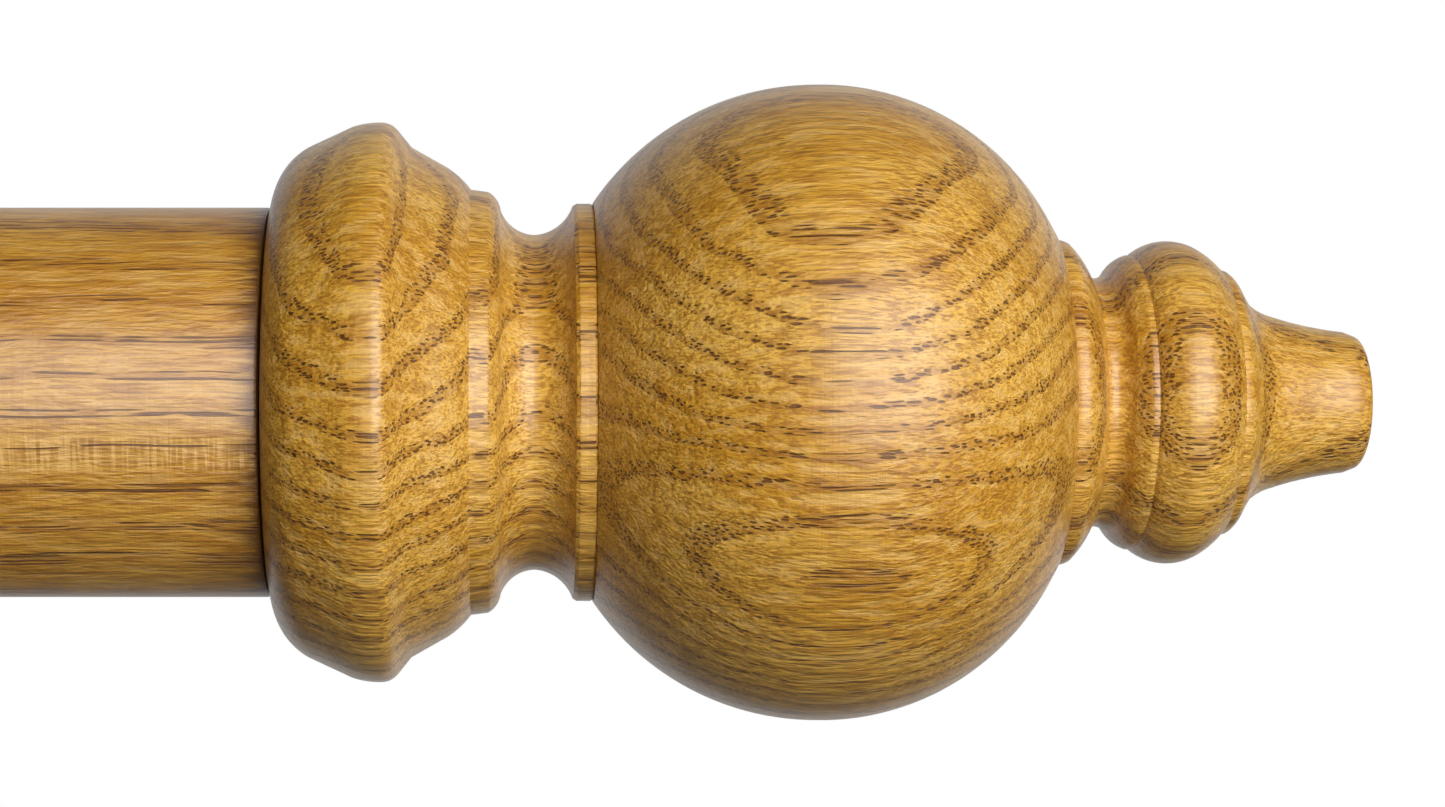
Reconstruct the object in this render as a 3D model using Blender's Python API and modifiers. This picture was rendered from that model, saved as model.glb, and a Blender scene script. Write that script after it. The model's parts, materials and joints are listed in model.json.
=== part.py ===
"""A turned oak curtain pole with two screw-in ball finials, resting in two wall brackets.

The pole lies along X. The wall is the plane y = 0 and the room is on its -Y side. The origin is the
centre of the left bracket's wall face, level with the pole's axis. +Z is up, and lengths are metres.

Every turned piece is described by an outline: the half section that a lathe tool would follow. A
stretch of an outline is (along, radius, rise): it runs to that point and bows out by the rise.
"""
import math

import bpy
from mathutils import Matrix, Vector

MM = 0.001
GAP = 0.3 * MM  # left between pieces that touch

# --- driving dimensions -----------------------------------------------------------------------
POLE_RADIUS = 25 * MM
POLE_LENGTH = 1200 * MM
PROJECTION = 100 * MM  # wall to the pole's axis
BRACKET_INSET = 100 * MM  # pole's end to the middle of its bracket
BRACKET_SPAN = POLE_LENGTH - 2 * BRACKET_INSET

CHORD_ERROR = 0.25 * MM  # how far a flat may cut inside a curved stretch
POLE_SIDES = 32
TURNED_SIDES = 24
SMALL_SIDES = 12

# finial, measured outwards from the pole's end
BALL_END = 99.0 * MM
TIP_START = 99.3 * MM
BOLT_RADIUS = 3.9 * MM  # M8
BOLT_CLEARANCE = 4.3 * MM
BOLT_IN_POLE = 16.0 * MM
BOLT_IN_FINIAL = 75.0 * MM
BOLT_CHAMFER = 1.2 * MM
BOLT_NECK_START = 18.0 * MM
BOLT_NECK_END = 24.0 * MM
BOLT_NECK_DEPTH = 0.4 * MM
BOLT_BORE_DEPTH = 34.0 * MM  # pole's end to the bottom of the bolt's bore
DOWEL_RADIUS = 4.0 * MM
DOWEL_HALF = 12.0 * MM
POLE_INSERT_RADIUS = 6.0 * MM
POLE_INSERT_LENGTH = 18.0 * MM
POLE_INSERT_SINK = 0.5 * MM

# bracket, measured out from the wall
ROSE_FLAT = 12 * MM  # wall to the flat ring that takes the screws
SCREW_RING = 33 * MM
SCREW_LENGTH = 45 * MM
SCREW_RADIUS = 2.4 * MM
SCREW_HEAD_RADIUS = 4.8 * MM
SCREW_HEAD_DEPTH = 2.8 * MM
HEAD_EDGE = 0.6 * MM  # straight edge of the head before its cone
HEAD_SINK = 0.3 * MM  # head below the rose's flat
JOINT_DOWEL_RADIUS = 5.0 * MM
ROSE_DOWEL = (8.4 * MM, 28.6 * MM)
CRADLE_DOWEL = (46.9 * MM, 67.6 * MM)
CRADLE_SOCKET_END = 68.0 * MM

# cradle, a U around the pole's axis
CRADLE_RADIUS = 42 * MM
CRADLE_BORE = 26.8 * MM
CRADLE_WIDTH = 26 * MM
BACK_POST = 26 * MM  # height of each post above the axis, up to its round top
FRONT_POST = 6 * MM
FELT_THICKNESS = 1.2 * MM
FELT_HALF_ANGLE = math.radians(80)

# locking screw under the cradle
SCREW_TRAVEL = 4.0 * MM
PAD_RADIUS = 5.0 * MM
PAD_THICKNESS = 2.5 * MM
THUMB_RADIUS = 2.8 * MM  # M6
THUMB_HEAD_RADIUS = 9.0 * MM
THUMB_HEAD_HEIGHT = 7.5 * MM
THUMB_HEAD_DROP = 3.5 * MM  # cradle's underside to the head
THUMB_INSERT_RADIUS = 4.5 * MM


# --- scene --------------------------------------------------------------------------------------
def clear_scene():
    for old in list(bpy.data.objects):
        bpy.data.objects.remove(old, do_unlink=True)


def new_collection(name):
    collection = bpy.data.collections.new(name)
    bpy.context.scene.collection.children.link(collection)
    return collection


def new_material(name, color, roughness, metallic=0.0):
    material = bpy.data.materials.new(name)
    material.use_nodes = True
    shader = material.node_tree.nodes["Principled BSDF"]
    shader.inputs["Base Color"].default_value = (*color, 1.0)
    shader.inputs["Roughness"].default_value = roughness
    shader.inputs["Metallic"].default_value = metallic
    return material


# --- outlines -----------------------------------------------------------------------------------
def arc(start, end, rise):
    """The points of a bowed stretch after its start, in flats that keep within CHORD_ERROR."""
    chord = end - start
    side = Vector((-chord.y, chord.x)).normalized()
    flats = max(1, math.ceil(math.sqrt(abs(rise) / CHORD_ERROR)))
    if flats == 1:
        return [end]
    radius = (chord.length_squared / 4 + rise * rise) / (2 * abs(rise))
    half_angle = math.asin(min(1.0, chord.length / 2 / radius))
    points = []
    for step in range(1, flats):
        angle = half_angle * (2 * step / flats - 1)
        along = radius * math.sin(angle)
        out = radius * math.cos(angle) - (radius - abs(rise))
        points.append((start + end) / 2 + chord.normalized() * along + side * math.copysign(out, rise))
    return points + [end]


def outline(start, *stretches):
    """An outline in millimetres as a list of (along, radius) points in metres."""
    points = [Vector(start) * MM]
    for along, radius, *rise in stretches:
        points += arc(points[-1], Vector((along, radius)) * MM, sum(rise) * MM)
    return points


def at(*pairs):
    """Plain corners, already in metres."""
    return [Vector(pair) for pair in pairs]


def link(obj, collection, material=None):
    collection.objects.link(obj)
    if material is not None:
        obj.data.materials.append(material)
    return obj


def turned(name, points, sides, place, axis, collection, material=None):
    """A piece turned on a lathe. Its outline runs outwards along the axis on its outer side."""
    mesh = bpy.data.meshes.new(name)
    loop = [Vector((p.y, 0, p.x)) for p in reversed(points)]
    edges = [(i, i + 1) for i in range(len(loop) - 1)]
    if min(points[0].y, points[-1].y) > 0:  # a ring: its section is a closed loop
        edges.append((len(loop) - 1, 0))
    mesh.from_pydata(loop, edges, [])
    obj = bpy.data.objects.new(name, mesh)
    screw = obj.modifiers.new("Turn", "SCREW")
    screw.axis = "Z"
    screw.angle = math.tau
    screw.steps = screw.render_steps = sides
    screw.use_merge_vertices = True
    screw.merge_threshold = 0.00001
    screw.use_smooth_shade = True
    obj.location = place
    obj.rotation_euler = Vector((0, 0, 1)).rotation_difference(axis).to_euler()
    return link(obj, collection, material)


def plate(name, points, width, x_place, collection, material=None):
    """A flat outline of (y, z) points, sawn from a board of that width across X."""
    curve = bpy.data.curves.new(name, "CURVE")
    curve.dimensions = "2D"
    curve.fill_mode = "BOTH"
    curve.extrude = width / 2
    spline = curve.splines.new("POLY")
    spline.points.add(len(points) - 1)
    for knot, point in zip(spline.points, points):
        knot.co = (point.x, point.y, 0, 1)
    spline.use_cyclic_u = True
    drawn = bpy.data.objects.new(name + "_outline", curve)
    bpy.context.scene.collection.objects.link(drawn)
    bpy.context.view_layer.update()
    evaluated = drawn.evaluated_get(bpy.context.evaluated_depsgraph_get())
    mesh = bpy.data.meshes.new_from_object(evaluated)
    bpy.data.objects.remove(drawn, do_unlink=True)
    obj = bpy.data.objects.new(name, mesh)
    weld = obj.modifiers.new("Weld", "WELD")
    weld.merge_threshold = 0.00001
    y_to_x = Matrix(((0, 0, 1), (1, 0, 0), (0, 1, 0)))
    obj.rotation_euler = y_to_x.to_euler()
    obj.location.x = x_place
    return link(obj, collection, material)


def soften(obj, width, segments=2):
    bevel = obj.modifiers.new("Soften", "BEVEL")
    bevel.width = width
    bevel.segments = segments
    bevel.limit_method = "ANGLE"
    bevel.angle_limit = math.radians(40)


def cut(obj, cutter):
    cutter.hide_render = True
    cutter.display_type = "WIRE"
    boolean = obj.modifiers.new("Cut " + cutter.name, "BOOLEAN")
    boolean.operation = "DIFFERENCE"
    boolean.solver = "EXACT"
    boolean.object = cutter


# --- the pole -------------------------------------------------------------------------------------
def pole_outline():
    """A plain rod with a stepped bore in each end: a wide one for the insert, a thin one beyond it."""
    half = POLE_LENGTH / 2
    insert_floor = half - POLE_INSERT_LENGTH - POLE_INSERT_SINK - GAP
    bolt_floor = half - BOLT_BORE_DEPTH
    wide = POLE_INSERT_RADIUS + GAP
    ease = 0.5 * MM
    end = at((bolt_floor, 0), (bolt_floor, BOLT_CLEARANCE), (insert_floor, BOLT_CLEARANCE),
             (insert_floor, wide), (half, wide), (half, POLE_RADIUS - ease), (half - ease, POLE_RADIUS))
    mirrored = [Vector((-p.x, p.y)) for p in end]
    return mirrored + end[::-1]


def make_pole(parts, oak):
    middle = Vector((BRACKET_SPAN / 2, -PROJECTION, 0))
    turned("pole", pole_outline(), POLE_SIDES, middle, Vector((1, 0, 0)), parts, oak)


# --- the finial -----------------------------------------------------------------------------------
def collar_outline():
    """Round back rim, slope, ridge, falling slope, a fillet, a cove and a second fillet."""
    return outline(
        (0.0, 4.3), (0.0, 25.4), (4.5, 32.7, 1.1), (10.1, 35.3), (13.9, 35.85, 0.17),
        (15.9, 34.8, 0.25), (17.6, 32.7), (21.3, 30.6), (25.2, 27.3, 0.3),
        (27.4, 27.0), (29.0, 24.6, 0.35), (33.4, 21.5, -0.83), (38.2, 25.2, -0.9),
        (38.7, 25.5), (40.2, 25.5), (40.5, 25.2), (40.5, 4.3),
    )


def ball_outline():
    """A ball whose two halves are arcs, with a bore for the bolt and one for the tip's dowel."""
    return outline(
        (77.0, 0.0), (77.0, 4.3), (40.8, 4.3), (40.8, 25.6), (69.2, 40.67, 4.03),
        (98.2, 24.0, 4.62), (99.0, 22.6), (99.0, 4.3), (86.8, 4.3), (86.8, 0.0),
    )


def tip_outline():
    """Fillet, neck, small ridge, ring, second fillet and the flared nose."""
    return outline(
        (111.5, 0.0), (111.5, 4.3), (99.3, 4.3), (99.3, 20.8), (101.3, 20.6, 0.2),
        (104.1, 16.2, 0.3), (107.0, 17.2, -0.68), (109.2, 18.9, 0.25), (109.8, 18.8),
        (110.1, 19.2), (118.0, 19.6, 1.3), (120.8, 17.1, 0.17), (121.5, 16.95),
        (122.7, 15.5, 0.17), (124.2, 13.1), (127.6, 11.1, -0.25), (137.0, 9.05, -0.25),
        (138.2, 8.6), (139.0, 7.6, 0.2), (139.0, 0.0),
    )


def bolt_outline():
    """A headless bolt, chamfered at both ends, with a plain neck where its two threads meet."""
    tip = BOLT_CHAMFER
    neck = BOLT_NECK_DEPTH
    return at((-BOLT_IN_POLE, 0), (-BOLT_IN_POLE, BOLT_RADIUS - tip), (tip - BOLT_IN_POLE, BOLT_RADIUS),
              (BOLT_NECK_START, BOLT_RADIUS), (BOLT_NECK_START + neck, BOLT_RADIUS - neck),
              (BOLT_NECK_END - neck, BOLT_RADIUS - neck), (BOLT_NECK_END, BOLT_RADIUS),
              (BOLT_IN_FINIAL - 2 * tip, BOLT_RADIUS), (BOLT_IN_FINIAL, 0))


def sleeve_outline(start, end, outer, inner, ease=0.4 * MM):
    return at((start, inner), (start, outer - ease), (start + ease, outer), (end - ease, outer),
              (end, outer - ease), (end, inner))


def dowel_outline(start, end, radius, ease=0.8 * MM):
    return at((start, 0), (start, radius - ease), (start + ease, radius), (end - ease, radius),
              (end, radius - ease), (end, 0))


def make_finial(side, pole_end, axis, parts, paints):
    """The finial screws off outwards, so each piece has its origin on the pole's axis."""
    place = pole_end + axis * GAP
    insert_start = -POLE_INSERT_SINK - POLE_INSERT_LENGTH - GAP
    middle = (BALL_END + TIP_START) / 2
    pieces = (
        ("collar", collar_outline(), TURNED_SIDES, "oak"),
        ("ball", ball_outline(), TURNED_SIDES, "oak"),
        ("tip", tip_outline(), TURNED_SIDES, "oak"),
        ("bolt", bolt_outline(), SMALL_SIDES, "steel"),
        ("tip_dowel", dowel_outline(middle - DOWEL_HALF, middle + DOWEL_HALF, DOWEL_RADIUS),
         SMALL_SIDES, "beech"),
        ("pole_insert", sleeve_outline(insert_start, -POLE_INSERT_SINK - GAP, POLE_INSERT_RADIUS,
                                       BOLT_CLEARANCE), SMALL_SIDES, "brass"),
    )
    for name, points, sides, paint in pieces:
        turned(f"{side}_{name}", points, sides, place, axis, parts, paints[paint])


# --- the bracket ----------------------------------------------------------------------------------
def rose_outline():
    """Wall disc: plain edge, cove and bead up to the screws' flat ring, then the arm's boss."""
    return outline(
        (0.0, 0.0), (0.0, 47.4), (0.6, 48.0), (5.0, 48.0), (6.0, 46.8), (9.0, 42.0, -1.0),
        (9.4, 42.0), (12.0, 39.6, 0.7), (12.0, 26.0), (15.5, 22.2, -0.8), (18.0, 20.0, 0.5),
        (18.0, 5.3), (8.0, 5.3), (8.0, 0.0),
    )


def arm_outline():
    """Bead, long cove, bead and collar, with a dowel socket in each end."""
    return outline(
        (29.0, 0.0), (29.0, 5.3), (18.3, 5.3), (18.3, 17.0), (24.0, 17.0, 2.0), (25.0, 14.6),
        (39.0, 11.6, -2.0), (43.0, 12.4), (49.0, 13.2, 2.2), (50.5, 12.6), (54.0, 14.6, -0.6),
        (54.4, 15.4), (57.7, 15.4), (57.7, 5.3), (46.5, 5.3), (46.5, 0.0),
    )


def round_end(middle, radius, steps=8):
    """The half circle over the top of a post, from its outer side to its inner one."""
    return [middle + Vector((math.cos(a), math.sin(a))) * radius
            for a in (math.pi * i / steps for i in range(steps + 1))]


def bowl(radius, start, end, steps):
    """An arc round the pole's axis in the plane across it, as (y, z) points."""
    return [Vector((-PROJECTION + radius * math.cos(a), radius * math.sin(a)))
            for a in (start + (end - start) * i / steps for i in range(steps + 1))]


def cradle_points():
    """A U open at the top. The wall side is at larger y: its post is the tall one."""
    wall_half = (CRADLE_RADIUS - CRADLE_BORE) / 2
    centre = CRADLE_BORE + wall_half
    back = [p for p in round_end(Vector((centre - PROJECTION, BACK_POST)), wall_half)]
    front = [p for p in round_end(Vector((-centre - PROJECTION, FRONT_POST)), wall_half)]
    inner = bowl(CRADLE_BORE, 0, -math.pi, 20)
    outer = bowl(CRADLE_RADIUS, -math.pi, 0, 20)
    return back + inner + front + outer


def felt_points():
    inner = POLE_RADIUS + GAP
    middle = -math.pi / 2
    start = middle - FELT_HALF_ANGLE
    end = middle + FELT_HALF_ANGLE
    return bowl(inner, start, end, 18) + bowl(inner + FELT_THICKNESS, end, start, 18)


def wall_screw_outline():
    """Countersunk screw, from its point to its flat head."""
    shank_end = SCREW_HEAD_DEPTH + HEAD_EDGE
    point = 6 * MM
    return at((-SCREW_LENGTH, 0), (-SCREW_LENGTH + point, SCREW_RADIUS), (-shank_end, SCREW_RADIUS),
              (-HEAD_EDGE, SCREW_HEAD_RADIUS), (0, SCREW_HEAD_RADIUS), (0, 0))


def screw_hole_outline():
    """The screw's hole and countersink, longer than the rose is thick."""
    hole = SCREW_RADIUS + GAP
    sink = SCREW_HEAD_RADIUS + GAP
    return at((-30 * MM, 0), (-30 * MM, hole), (-SCREW_HEAD_DEPTH - 0.8 * MM, hole),
              (-0.8 * MM, sink), (6 * MM, sink), (6 * MM, 0))


def make_rose(side, x_place, parts, cutters, paints):
    out = Vector((0, -1, 0))
    wall = Vector((x_place, 0, 0))
    rose = turned(f"{side}_rose", rose_outline(), TURNED_SIDES, wall, out, parts, paints["oak"])
    for number in range(3):
        angle = math.radians(90 + 120 * number)
        seat = wall + Vector((math.cos(angle), 0, math.sin(angle))) * SCREW_RING + out * ROSE_FLAT
        hole = turned(f"{side}_screw_hole_{number + 1}", screw_hole_outline(), SMALL_SIDES,
                      seat, out, cutters)
        cut(rose, hole)
        sunk = seat - out * HEAD_SINK
        turned(f"{side}_wall_screw_{number + 1}", wall_screw_outline(), SMALL_SIDES,
               sunk, out, parts, paints["brass"])


def make_arm(side, x_place, parts, paints):
    out = Vector((0, -1, 0))
    wall = Vector((x_place, 0, 0))
    turned(f"{side}_arm", arm_outline(), TURNED_SIDES, wall, out, parts, paints["oak"])
    for name, (start, end) in (("rose_dowel", ROSE_DOWEL), ("cradle_dowel", CRADLE_DOWEL)):
        points = dowel_outline(start, end, JOINT_DOWEL_RADIUS)
        turned(f"{side}_{name}", points, SMALL_SIDES, wall, out, parts, paints["beech"])


def make_cradle(side, x_place, parts, cutters, paints):
    out = Vector((0, -1, 0))
    up = Vector((0, 0, 1))
    axis_point = Vector((x_place, -PROJECTION, 0))
    cradle = plate(f"{side}_cradle", cradle_points(), CRADLE_WIDTH, x_place, parts, paints["oak"])
    soften(cradle, 2.0 * MM)
    socket = JOINT_DOWEL_RADIUS + GAP
    back = PROJECTION - CRADLE_RADIUS
    cut(cradle, turned(f"{side}_dowel_socket",
                       at((back - 5 * MM, 0), (back - 5 * MM, socket), (CRADLE_SOCKET_END, socket),
                          (CRADLE_SOCKET_END, 0)),
                       SMALL_SIDES, Vector((x_place, 0, 0)), out, cutters))
    pad_floor = pad_bottom() - SCREW_TRAVEL - GAP
    hole = THUMB_INSERT_RADIUS + GAP
    recess = PAD_RADIUS + 2 * GAP
    below = -CRADLE_RADIUS - 5 * MM
    cut(cradle, turned(f"{side}_lock_hole",
                       at((below, 0), (below, hole), (pad_floor, hole), (pad_floor, recess),
                          (-20 * MM, recess), (-20 * MM, 0)),
                       SMALL_SIDES, axis_point, up, cutters))

    felt = plate(f"{side}_felt", felt_points(), CRADLE_WIDTH - 4 * MM, x_place, parts, paints["felt"])
    cut(felt, turned(f"{side}_felt_hole",
                     at((-30 * MM, 0), (-30 * MM, recess + GAP), (-20 * MM, recess + GAP), (-20 * MM, 0)),
                     SMALL_SIDES, axis_point, up, cutters))


# --- the locking screw ----------------------------------------------------------------------------
def pad_bottom():
    return -POLE_RADIUS - GAP - PAD_THICKNESS


def pad_outline():
    """A disc under the pole, with a socket below for the screw's tip."""
    low = pad_bottom()
    high = low + PAD_THICKNESS
    ease = 0.4 * MM
    return at((low + 1.5 * MM, 0), (low + 1.5 * MM, 1.9 * MM), (low, 1.9 * MM), (low, PAD_RADIUS - ease),
              (low + ease, PAD_RADIUS), (high - ease, PAD_RADIUS), (high, PAD_RADIUS - ease), (high, 0))


def thumbscrew_outline():
    """Head with a raised middle, neck, threaded shank and a thin tip that turns in the pad."""
    head_top = -CRADLE_RADIUS - THUMB_HEAD_DROP
    head_low = head_top - THUMB_HEAD_HEIGHT
    shank_top = pad_bottom() - GAP
    tip_top = pad_bottom() + 1.2 * MM
    ease = 0.8 * MM
    return at((head_low, 0), (head_low, THUMB_HEAD_RADIUS - ease), (head_low + ease, THUMB_HEAD_RADIUS),
              (head_top - 2 * MM - ease, THUMB_HEAD_RADIUS), (head_top - 2 * MM, THUMB_HEAD_RADIUS - ease),
              (head_top - 2 * MM, 5.0 * MM), (head_top, 4.2 * MM), (head_top, THUMB_RADIUS),
              (shank_top, THUMB_RADIUS), (shank_top, 1.6 * MM), (tip_top, 1.6 * MM), (tip_top, 0))


def make_locking_screw(side, x_place, parts, paints):
    """The thumbscrew and its pad share the vertical line through the pole's axis."""
    up = Vector((0, 0, 1))
    axis_point = Vector((x_place, -PROJECTION, 0))
    insert_low = -CRADLE_RADIUS + 0.6 * MM
    insert_high = pad_bottom() - SCREW_TRAVEL - 2 * GAP
    pieces = (
        ("pad", pad_outline(), "brass"),
        ("thumbscrew", thumbscrew_outline(), "brass"),
        ("lock_insert", sleeve_outline(insert_low, insert_high, THUMB_INSERT_RADIUS,
                                       THUMB_RADIUS + GAP), "brass"),
    )
    for name, points, paint in pieces:
        turned(f"{side}_{name}", points, SMALL_SIDES, axis_point, up, parts, paints[paint])


def make_bracket(side, x_place, parts, cutters, paints):
    make_rose(side, x_place, parts, cutters, paints)
    make_arm(side, x_place, parts, paints)
    make_cradle(side, x_place, parts, cutters, paints)
    make_locking_screw(side, x_place, parts, paints)


# --- assembly -------------------------------------------------------------------------------------
def main():
    clear_scene()
    parts = new_collection("curtain_pole_set")
    cutters = new_collection("cutters")
    paints = {
        "oak": new_material("oak", (0.48, 0.25, 0.055), 0.42),
        "beech": new_material("beech", (0.62, 0.45, 0.28), 0.6),
        "brass": new_material("brass", (0.72, 0.5, 0.2), 0.3, 1.0),
        "steel": new_material("steel", (0.6, 0.6, 0.62), 0.35, 1.0),
        "felt": new_material("felt", (0.12, 0.075, 0.045), 0.95),
    }
    make_pole(parts, paints["oak"])
    left_end = Vector((-BRACKET_INSET, -PROJECTION, 0))
    right_end = left_end + Vector((POLE_LENGTH, 0, 0))
    make_finial("left", left_end, Vector((-1, 0, 0)), parts, paints)
    make_finial("right", right_end, Vector((1, 0, 0)), parts, paints)
    make_bracket("left", 0.0, parts, cutters, paints)
    make_bracket("right", BRACKET_SPAN, parts, cutters, paints)


main()
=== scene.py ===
# %% [markdown]
# # A turned oak curtain pole
# The imported model gives every solid its place. This lesson makes the surfaces that an eye meets: fine
# turned oak, knurled and threaded brass, felt, and the light of a small studio. Each piece is seated from
# the frame's own boxes. Its outline is given again here and turned finer than the solid it stands for, and
# the colours and the lights were tuned.

# %% Load the frame
import json
import math

import bmesh
import bpy
from mathutils import Matrix, Vector

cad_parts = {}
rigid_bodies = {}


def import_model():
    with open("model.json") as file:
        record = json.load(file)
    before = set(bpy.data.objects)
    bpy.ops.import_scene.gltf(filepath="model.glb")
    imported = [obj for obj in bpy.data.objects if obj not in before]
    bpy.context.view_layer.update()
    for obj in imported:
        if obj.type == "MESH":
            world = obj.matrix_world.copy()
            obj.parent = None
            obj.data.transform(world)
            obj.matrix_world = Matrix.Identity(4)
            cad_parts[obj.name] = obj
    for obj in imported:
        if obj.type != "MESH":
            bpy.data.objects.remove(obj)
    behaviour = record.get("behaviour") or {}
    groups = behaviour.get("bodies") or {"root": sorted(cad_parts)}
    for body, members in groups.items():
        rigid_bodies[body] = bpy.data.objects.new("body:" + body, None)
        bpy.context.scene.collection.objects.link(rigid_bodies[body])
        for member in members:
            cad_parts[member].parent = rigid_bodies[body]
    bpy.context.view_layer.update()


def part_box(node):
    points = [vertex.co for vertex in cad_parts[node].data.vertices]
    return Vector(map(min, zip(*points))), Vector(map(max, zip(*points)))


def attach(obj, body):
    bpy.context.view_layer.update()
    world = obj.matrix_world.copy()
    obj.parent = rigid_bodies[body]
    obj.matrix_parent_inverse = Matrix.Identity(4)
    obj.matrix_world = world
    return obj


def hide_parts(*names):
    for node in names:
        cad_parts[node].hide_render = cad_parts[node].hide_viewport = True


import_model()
MM = 0.001

# %% [markdown]
# The pole's axis is the line that everything hangs on. Its two ends and the two brackets come from the
# boxes of four solids. Each finial is turned outwards from one end of the pole, and each bracket stands
# out from the wall, so a *seat* is kept for each: a point, and the direction that its axis runs in.

# %% Find the axis, the ends and the brackets
pole_low, pole_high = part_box("pole")
pole_middle = (pole_low + pole_high) / 2
AXIS_Y = pole_middle.y
AXIS_Z = pole_middle.z
GAP = 0.3 * MM
OUT = Vector((0, -1, 0))
UP = Vector((0, 0, 1))
ALONG = Vector((1, 0, 0))

outward = {"left": -ALONG, "right": ALONG}
finial_seat = {
    "left": Vector((pole_low.x - GAP, AXIS_Y, AXIS_Z)),
    "right": Vector((pole_high.x + GAP, AXIS_Y, AXIS_Z)),
}
wall_seat = {}
cradle_seat = {}
for side in outward:
    rose_low, rose_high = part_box(f"{side}_rose")
    middle_x = (rose_low.x + rose_high.x) / 2
    wall_seat[side] = Vector((middle_x, rose_high.y, AXIS_Z))
    cradle_seat[side] = Vector((middle_x, AXIS_Y, AXIS_Z))
print("pole runs from x =", round(pole_low.x, 4), "to", round(pole_high.x, 4))
print("brackets at x =", [round(seat.x, 4) for seat in wall_seat.values()])

# %% [markdown]
# The camera comes first, because it decides how fine each surface has to be. It looks squarely at the
# right finial, level with the pole and a little under 0.4 m from its axis. The lens is shifted sideways, so
# the view takes in more of the finial than of the pole while the camera still faces the pole squarely. The
# distance, lens and shifts were solved from the outline that the finial has to show from there.

# %% Set up the camera
CAMERA_DISTANCE = 386 * MM
CAMERA_PAST_POLE_END = 29.85 * MM
camera_data = bpy.data.cameras.new("studio_camera")
camera_data.sensor_width = 36
camera_data.lens = 74.74
camera_data.shift_x = 0.1505
camera_data.shift_y = -0.0008
camera_data.clip_start = 0.02
camera = bpy.data.objects.new("studio_camera", camera_data)
camera.location = (pole_high.x + CAMERA_PAST_POLE_END, AXIS_Y - CAMERA_DISTANCE, AXIS_Z)
camera.rotation_euler = (math.radians(90), 0, 0)
bpy.context.scene.collection.objects.link(camera)
bpy.context.scene.camera = camera
print("camera stands at", [round(value, 4) for value in camera.location])

# %% [markdown]
# A material is a graph of nodes, but it reads best as arithmetic. `Value` wraps one socket and lends it
# Python's own operators, so `1 - mask` makes a Math node. `Finish` owns one material and makes every
# other node through one method: its type, its settings, and what goes into its sockets.


# %% Arithmetic for materials
class Value:
    """One number, colour or vector inside a finish."""

    def __init__(self, finish, socket):
        self.finish = finish
        self.socket = socket

    def output(self, name):
        """Another output of the node that this value comes from."""
        return Value(self.finish, self.socket.node.outputs[name])

    def __add__(self, other):
        return self.finish.math("ADD", self, other)

    __radd__ = __add__

    def __sub__(self, other):
        return self.finish.math("SUBTRACT", self, other)

    def __rsub__(self, other):
        return self.finish.math("SUBTRACT", other, self)

    def __mul__(self, other):
        return self.finish.math("MULTIPLY", self, other)

    __rmul__ = __mul__

    def __truediv__(self, other):
        return self.finish.math("DIVIDE", self, other)

    def __abs__(self):
        return self.finish.math("ABSOLUTE", self)


class Finish:
    """One material, built node by node."""

    def __init__(self, name, tree=None):
        if tree is None:
            self.material = bpy.data.materials.new(name)
            self.material.use_nodes = True
            tree = self.material.node_tree
            self.shader = tree.nodes["Principled BSDF"]
        self.tree = tree

    def feed(self, socket, value):
        if isinstance(value, Value):
            self.tree.links.new(value.socket, socket)
        else:
            socket.default_value = value

    def node(self, kind, settings, sockets, output=0):
        made = self.tree.nodes.new("ShaderNode" + kind)
        for name, setting in settings.items():
            setattr(made, name, setting)
        for name, value in sockets.items():
            self.feed(made.inputs[name], value)
        return Value(self, made.outputs[output])

    def math(self, operation, *values):
        return self.node("Math", {"operation": operation}, dict(enumerate(values)))

    def vector(self, operation, first, second):
        return self.node("VectorMath", {"operation": operation}, {0: first, 1: second})

    def fade(self, value, start, end):
        """0 below start and 1 above end, with a smooth step between."""
        return self.node("MapRange", {"interpolation_type": "SMOOTHSTEP"},
                         {"Value": value, "From Min": start, "From Max": end})

    def blend(self, factor, first, second):
        return self.node("Mix", {"data_type": "RGBA"}, {0: factor, 6: first, 7: second}, 2)

    def noise(self, place, scale, detail=2.0, output=0):
        """Noise with a feature size per axis: scale is how many fit in a millimetre."""
        stretched = self.vector("MULTIPLY", place, scale)
        return self.node("TexNoise", {}, {"Vector": stretched, "Scale": 1.0, "Detail": detail}, output)

    def place(self, centre, turn=(0, 0, 0)):
        """Object coordinates in millimetres from a centre, turned."""
        local = self.node("TexCoord", {}, {}, "Object")
        shifted = self.vector("SUBTRACT", local, centre)
        return self.node("Mapping", {}, {"Vector": shifted, "Rotation": turn, "Scale": (1000, 1000, 1000)})

    def set(self, **sockets):
        for name, value in sockets.items():
            self.feed(self.shader.inputs[name.replace("_", " ")], value)


def srgb(red, green, blue):
    """A colour chosen on a screen, as the linear light that a shader works in."""
    linear = [((c / 255 + 0.055) / 1.055) ** 2.4 if c > 10 else c / 3294.6 for c in (red, green, blue)]
    return (*linear, 1)


# %% [markdown]
# Oak is ring porous. Each year's growth starts with a band of wide vessels, open tubes about a third of a
# millimetre across that run along the grain, and ends in dense wood. A lathe cuts through that structure,
# so the same tubes show as long dashes where the surface runs along the grain and as dots where it crosses
# it. The finish below is therefore a solid one: it says what the wood is at each point in space, and the
# shape of the piece draws the figure, with no seam and no stretching.
#
# *Rings* come from a smooth field across the grain whose whole numbers are the borders between years. In a
# textbook log it would be the distance from the pith. Real trunks are lobed, and a lobed field is what puts
# one set of ovals high on the ball and another low on it, so the field is a short sum of shapes: a slope, a
# bowl, a saddle, a three-leaved clover and a four-armed cross.

# %% The rings of a tree
FIELD_UNIT = 40.67  # millimetres from the axis at which a field's terms are counted in years


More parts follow.
